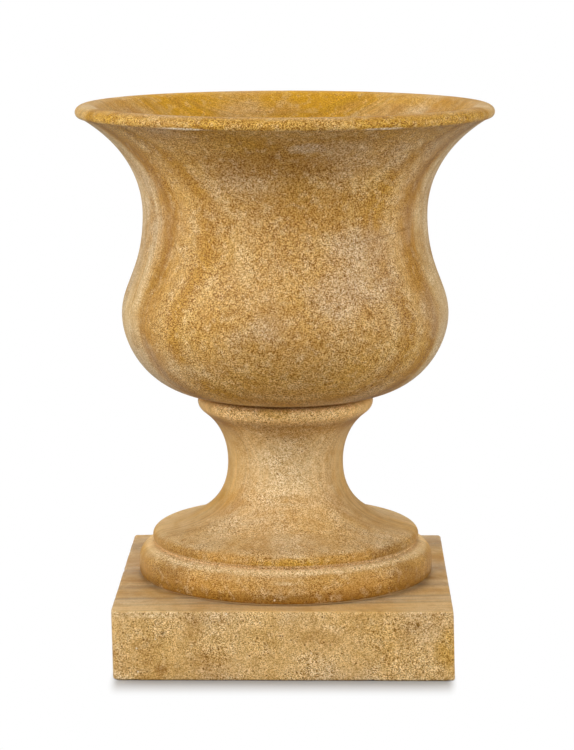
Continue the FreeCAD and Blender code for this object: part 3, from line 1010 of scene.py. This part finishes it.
def bowl_outline():
    """The bowl's outline, from the bore out under the belly, up and over the lip, and down inside."""
    belly = (BELLY_RADIUS, BOWL_BASE + BELLY_HEIGHT)
    waist = (WAIST_RADIUS, belly[1] + WAIST_RISE)
    lip_root = BOWL_TOP - LIP_UPPER_HEIGHT - LIP_LOWER_HEIGHT
    crest = RIM_RADIUS - LIP_CROWN_WIDTH
    throat = (WAIST_RADIUS - WAIST_WALL, waist[1])
    inner_belly = (BELLY_RADIUS - BELLY_WALL, belly[1])
    recess_floor = BOWL_BASE + FLOOR_UNDER_RECESS
    bowl_floor = recess_floor + RECESS_DEPTH
    outline = [Vector((BORE_RADIUS, BOWL_BASE))]
    run(outline, (SEAT_RADIUS, BOWL_BASE))
    bend(outline, slope(UNDERSIDE_SLOPE, UNDERSIDE_REACH), (0.0, BELLY_REACH_DOWN), belly)
    bend(outline, (0.0, BELLY_REACH_UP), (0.0, WAIST_REACH_DOWN), waist)
    flare_end = (RIM_RADIUS - LIP_UNDERSIDE_WIDTH, lip_root)
    bend(outline, (0.0, WAIST_REACH_UP), slope(FLARE_SLOPE, FLARE_REACH), flare_end)
    run(outline, (flare_end[0] + LIP_QUIRK, lip_root))
    quarter(outline, (RIM_RADIUS, lip_root + LIP_LOWER_HEIGHT), True)
    quarter(outline, (crest, BOWL_TOP), False)
    inwards = slope(LIP_INNER_SLOPE, -1.0)
    bend(
        outline,
        (-LIP_INNER_REACH, 0.0),
        inwards * LIP_INNER_REACH,
        (crest - LIP_INNER_WIDTH, BOWL_TOP - LIP_INNER_DROP),
    )
    bend(outline, inwards * INNER_FLARE_REACH, (0.0, -WAIST_REACH_UP), throat)
    bend(outline, (0.0, -WAIST_REACH_DOWN), (0.0, -BELLY_REACH_UP), inner_belly)
    bend(outline, (0.0, -INNER_BELLY_REACH_DOWN), (-FLOOR_REACH, 0.0), (FLOOR_RADIUS, bowl_floor))
    run(outline, (RECESS_RADIUS, bowl_floor), (RECESS_RADIUS, recess_floor), (BORE_RADIUS, recess_floor))
    return outline


BOWL_BEDS = (
    (-190, OCHRE),
    (-165, RUST),
    (-145, OCHRE),
    (-128, OCHRE),
    (-120, HONEY),
    (-112, RUST),
    (-106, RUST),
    (-97, HONEY),
    (-88, OCHRE),
    (-82, RUST),
    (-75, UMBER),
    (-68, RUST),
    (-63, CREAM),
    (-52, PALE),
    (-20, PALE),
    (0, CREAM),
    (35, CREAM),
    (62, HONEY),
    (78, OCHRE),
    (90, CREAM),
    (110, AMBER),
    (190, AMBER),
)
BOWL_PATCHES = (
    # Darker under the lip's front: partly the stone's darker bed, partly painted shade where the lip
    # overhangs.
    (UMBER, (-0.01, -0.15, 0.455), (0.095, 0.06, 0.024), 0.6),
    (RUST, (0.015, -0.136, 0.412), (0.095, 0.06, 0.036), 0.65),
    # Painted soft reflection on the flare just under the lip's front.
    (ASH, (0.023, -0.166, 0.472), (0.02, 0.03, 0.007), 0.7),
    (ASH, (0.06, -0.117, 0.384), (0.026, 0.04, 0.022), 0.3),
    (CREAM, (0.036, -0.127, 0.388), (0.01, 0.03, 0.01), 0.6),
    (ASH, (0.045, -0.131, 0.34), (0.036, 0.04, 0.03), 0.45),
    (CREAM, (-0.033, -0.131, 0.369), (0.014, 0.04, 0.028), 0.55),
    (RUST, (0.003, -0.149, 0.298), (0.06, 0.04, 0.009), 0.45),
    (CREAM, (-0.086, -0.108, 0.27), (0.03, 0.04, 0.012), 0.5),
    (OCHRE, (-0.115, -0.093, 0.316), (0.028, 0.05, 0.034), 0.6),
    (AMBER, (0.0, 0.0, 0.494), (0.6, 0.6, 0.007), 0.45),
    (RUST, (-0.17, 0.04, 0.495), (0.06, 0.09, 0.03), 0.35),
    (RUST, (0.165, 0.05, 0.495), (0.06, 0.09, 0.03), 0.45),
    # Two thin painted highlights along the lip's lower front edge, where the key lamps glint.
    (PAINTED_HIGHLIGHT, (-0.084, -0.171, 0.4893), (0.028, 0.06, 0.0014), 0.8),
    (PAINTED_HIGHLIGHT, (0.088, -0.169, 0.4893), (0.022, 0.06, 0.0014), 0.7),
    (CREAM, (0.0, 0.15, 0.32), (0.2, 0.075, 0.115), 0.7),
)
BOWL_CRACKS = (
    ((0.055, 0.0, 0.384), (0.112, 0.0, 0.393), 0.55),
    ((0.059, 0.0, 0.343), (0.079, 0.0, 0.321), 0.45),
    ((0.069, 0.0, 0.339), (0.083, 0.0, 0.336), 0.45),
)
bowl_stone = make_stone(
    "bowl_stone",
    BOWL_BEDS,
    BOWL_PATCHES,
    BOWL_CRACKS,
    shift=0.0,
    coarse_before=-88.0,
    coarse_grain=1.25,
    fine_grain=0.6,
    dust=0.05,
    worn=0.3,
    staining=0.5,
)
bowl = turn("turned_bowl", rub_down(bowl_outline()), bowl_stone, seed=8.0)
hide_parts("bowl")
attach(bowl, "root")


# Fixings
# A stainless threaded rod draws the three stones together, with a nut and washer at each end
# and a rubber seal under the upper washer.
THREAD_PITCH = 1.75 * MM
THREAD_DEPTH = 1.0 * MM
THREAD_CUTS = 24
# Corners of one ridge, as shares of the pitch upwards and of the depth outwards
THREAD_PROFILE = ((0.0, 0.0), (0.44, 1.0), (0.56, 1.0), (0.94, 0.0))


def make_thread(name, low, high):
    """A rod with a rolled thread: a ridged strip wound up it, clipped at both ends and capped."""
    radius = high.x
    turns = math.ceil((high.z - low.z) / THREAD_PITCH) + 2
    rod = bmesh.new()
    columns = []
    for cut in range(THREAD_CUTS + 1):
        share = cut / THREAD_CUTS
        angle = 2 * math.pi * share
        column = []
        for level in range(turns * len(THREAD_PROFILE)):
            turn_number, corner = divmod(level, len(THREAD_PROFILE))
            rise, stand = THREAD_PROFILE[corner]
            height = low.z + THREAD_PITCH * (turn_number - 1 + rise + share)
            height = min(max(height, low.z), high.z)
            to_end = min(height - low.z, high.z - height)
            reach = min(radius - THREAD_DEPTH * (1.0 - stand), radius - THREAD_DEPTH + to_end)
            column.append(rod.verts.new((reach * math.cos(angle), reach * math.sin(angle), height)))
        columns.append(column)
    for one, other in zip(columns, columns[1:]):
        for level in range(len(one) - 1):
            rod.faces.new((one[level], other[level], other[level + 1], one[level + 1]))
    return finish_piece(name, rod, smooth=False)


steel = make_speckled(
    "stainless_steel",
    260.0,
    4.0,
    (0.42, 0.41, 0.39),
    (0.66, 0.65, 0.63),
    (0.28, 0.5),
    (0.15, 0.2 * MM),
    Metallic=1.0,
)
rubber = make_speckled(
    "seal_rubber", 700.0, 3.0, (0.012, 0.012, 0.012), (0.035, 0.034, 0.033), 0.7, (0.3, 0.2 * MM)
)
rod_low, rod_high = (Vector(corner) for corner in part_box("tie_rod"))
threaded_rod = make_thread("threaded_rod", rod_low, rod_high)
threaded_rod.data.materials.append(steel)
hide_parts("tie_rod")
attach(threaded_rod, "root")
for node_name, material in (
    ("plinth_washer", steel),
    ("plinth_nut", steel),
    ("bowl_washer", steel),
    ("bowl_nut", steel),
    ("bowl_seal", rubber),
):
    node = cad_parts[node_name]
    node.data.materials.clear()
    node.data.materials.append(material)


# Studio
# A white floor that keeps the urn's contact shadow, partly painted into its colour by ambient occlusion, a
# white surround and six soft boxes: two keys from above left and right, a fill in front, a low one at each
# side and a high one behind.
FLOOR_SIZE = 8.0
FLOOR_WHITE = 0.8
FLOOR_BOUNCE = 0.3
FLOOR_GLOSS = 0.35
SHADOW_INSET = 8.0 * MM
SHADOW_ASIDE = 11.0 * MM
SHADOW_BEFORE = 54.0 * MM
SHADOW_REACH = 70.0 * MM
SHADOW_DARKEST = 0.05
SOFT_BOXES = (
    ("key_left", (-2.11, -1.65, 2.04), 0.3, 1.3, 1.3, 54.0),
    ("key_right", (2.11, -1.65, 2.04), 0.3, 1.3, 1.3, 27.5),
    ("front_fill", (0.0, -3.6, 0.25), 0.25, 2.4, 1.2, 62.0),
    ("left_side", (-1.95, -0.17, 0.72), 0.3, 0.6, 1.4, 12.0),
    ("right_side", (1.95, -0.17, 0.72), 0.3, 0.6, 1.4, 14.0),
    ("behind", (0.0, 1.26, 2.1), 0.3, 1.2, 0.8, 32.0),
)
SURROUND_FILL = 0.02
SURROUND_BEHIND = 0.35
SURROUND_SKEW = -0.22
SURROUND_EDGE = (0.55, 0.75)


def make_floor(low, high):
    """Painted white and lit near the plinth, where the shadow lies and its paint darkens by ambient occlusion
    into a painted contact shadow, and pure white beyond it.
    """
    material, add = new_material("studio_floor")
    place = parts_of(add, add("ShaderNodeTexCoord").outputs["Object"])
    past_side = minus(add, maths(add, "ABSOLUTE", place["X"]), high[0] - SHADOW_INSET)
    past_front = minus(add, maths(add, "ABSOLUTE", place["Y"]), high[1])
    aside = maths(add, "MAXIMUM", maths(add, "DIVIDE", past_side, SHADOW_ASIDE), 0.0)
    before = maths(add, "MAXIMUM", maths(add, "DIVIDE", past_front, SHADOW_BEFORE), 0.0)
    away = maths(add, "SQRT", maths(add, "MULTIPLY_ADD", aside, aside, times(add, before, before)))
    seen = add("ShaderNodeLightPath").outputs
    direct = maths(add, "MAXIMUM", seen["Is Camera Ray"], seen["Is Glossy Ray"])
    far = times(add, between(add, away, 0.0, 1.0), direct)
    white = maths(add, "MULTIPLY_ADD", seen["Is Camera Ray"], FLOOR_WHITE - FLOOR_BOUNCE, FLOOR_BOUNCE)
    brightness = maths(add, "MULTIPLY_ADD", seen["Is Camera Ray"], 1.0 - FLOOR_GLOSS, FLOOR_GLOSS)
    # Painted contact shadow: the paint darkens where the plinth hides the sky.
    sky = add("ShaderNodeAmbientOcclusion", {"Distance": SHADOW_REACH}, samples=16).outputs["AO"]
    shade = times(add, maths(add, "MAXIMUM", sky, SHADOW_DARKEST), white)
    paint = add("ShaderNodeBsdfDiffuse", {"Color": shade})
    glow = add("ShaderNodeEmission", {"Color": WHITE, "Strength": brightness})
    surface = add("ShaderNodeMixShader", {0: far, 1: paint.outputs[0], 2: glow.outputs[0]})
    add("ShaderNodeOutputMaterial", {"Surface": surface.outputs[0]})
    mesh = bpy.data.meshes.new("studio_floor")
    half = FLOOR_SIZE / 2
    corners = [(-half, -half, 0), (half, -half, 0), (half, half, 0), (-half, half, 0)]
    mesh.from_pydata(corners, [], [(0, 1, 2, 3)])
    mesh.materials.append(material)
    floor = new_object("studio_floor", mesh)


def make_surround():
    """White to the camera; in reflections dim in front of the urn, and brighter behind it."""
    world = bpy.data.worlds.new("surround")
    world.use_nodes = True
    tree = world.node_tree
    tree.nodes.clear()
    add = adder(tree)
    seen = add("ShaderNodeLightPath").outputs
    mirrored = maths(add, "MAXIMUM", seen["Is Glossy Ray"], seen["Is Transmission Ray"])
    towards = parts_of(add, add("ShaderNodeTexCoord").outputs["Generated"])
    depth = maths(add, "MULTIPLY_ADD", towards["X"], SURROUND_SKEW, towards["Y"])
    reflected = between(add, depth, *SURROUND_EDGE, 0.0, SURROUND_BEHIND - SURROUND_FILL)
    strength = maths(add, "MULTIPLY_ADD", mirrored, reflected, SURROUND_FILL)
    strength = maths(add, "MAXIMUM", strength, seen["Is Camera Ray"])
    background = add("ShaderNodeBackground", {"Color": WHITE, "Strength": strength})
    add("ShaderNodeOutputWorld", {"Surface": background.outputs[0]})
    bpy.context.scene.world = world


make_floor(plinth_low, plinth_high)
make_surround()
for box_name, stand, facing, width, height, power in SOFT_BOXES:
    light = bpy.data.lights.new(box_name, "AREA")
    light.shape = "RECTANGLE"
    light.size = width
    light.size_y = height
    light.energy = power
    lamp = new_object(box_name, light)
    lamp.location = stand
    lamp.visible_glossy = box_name != "behind"
    towards = Vector((0.0, 0.0, facing)) - Vector(stand)
    lamp.rotation_euler = towards.to_track_quat("-Z", "Y").to_euler()
bpy.context.scene.view_settings.view_transform = "Standard"
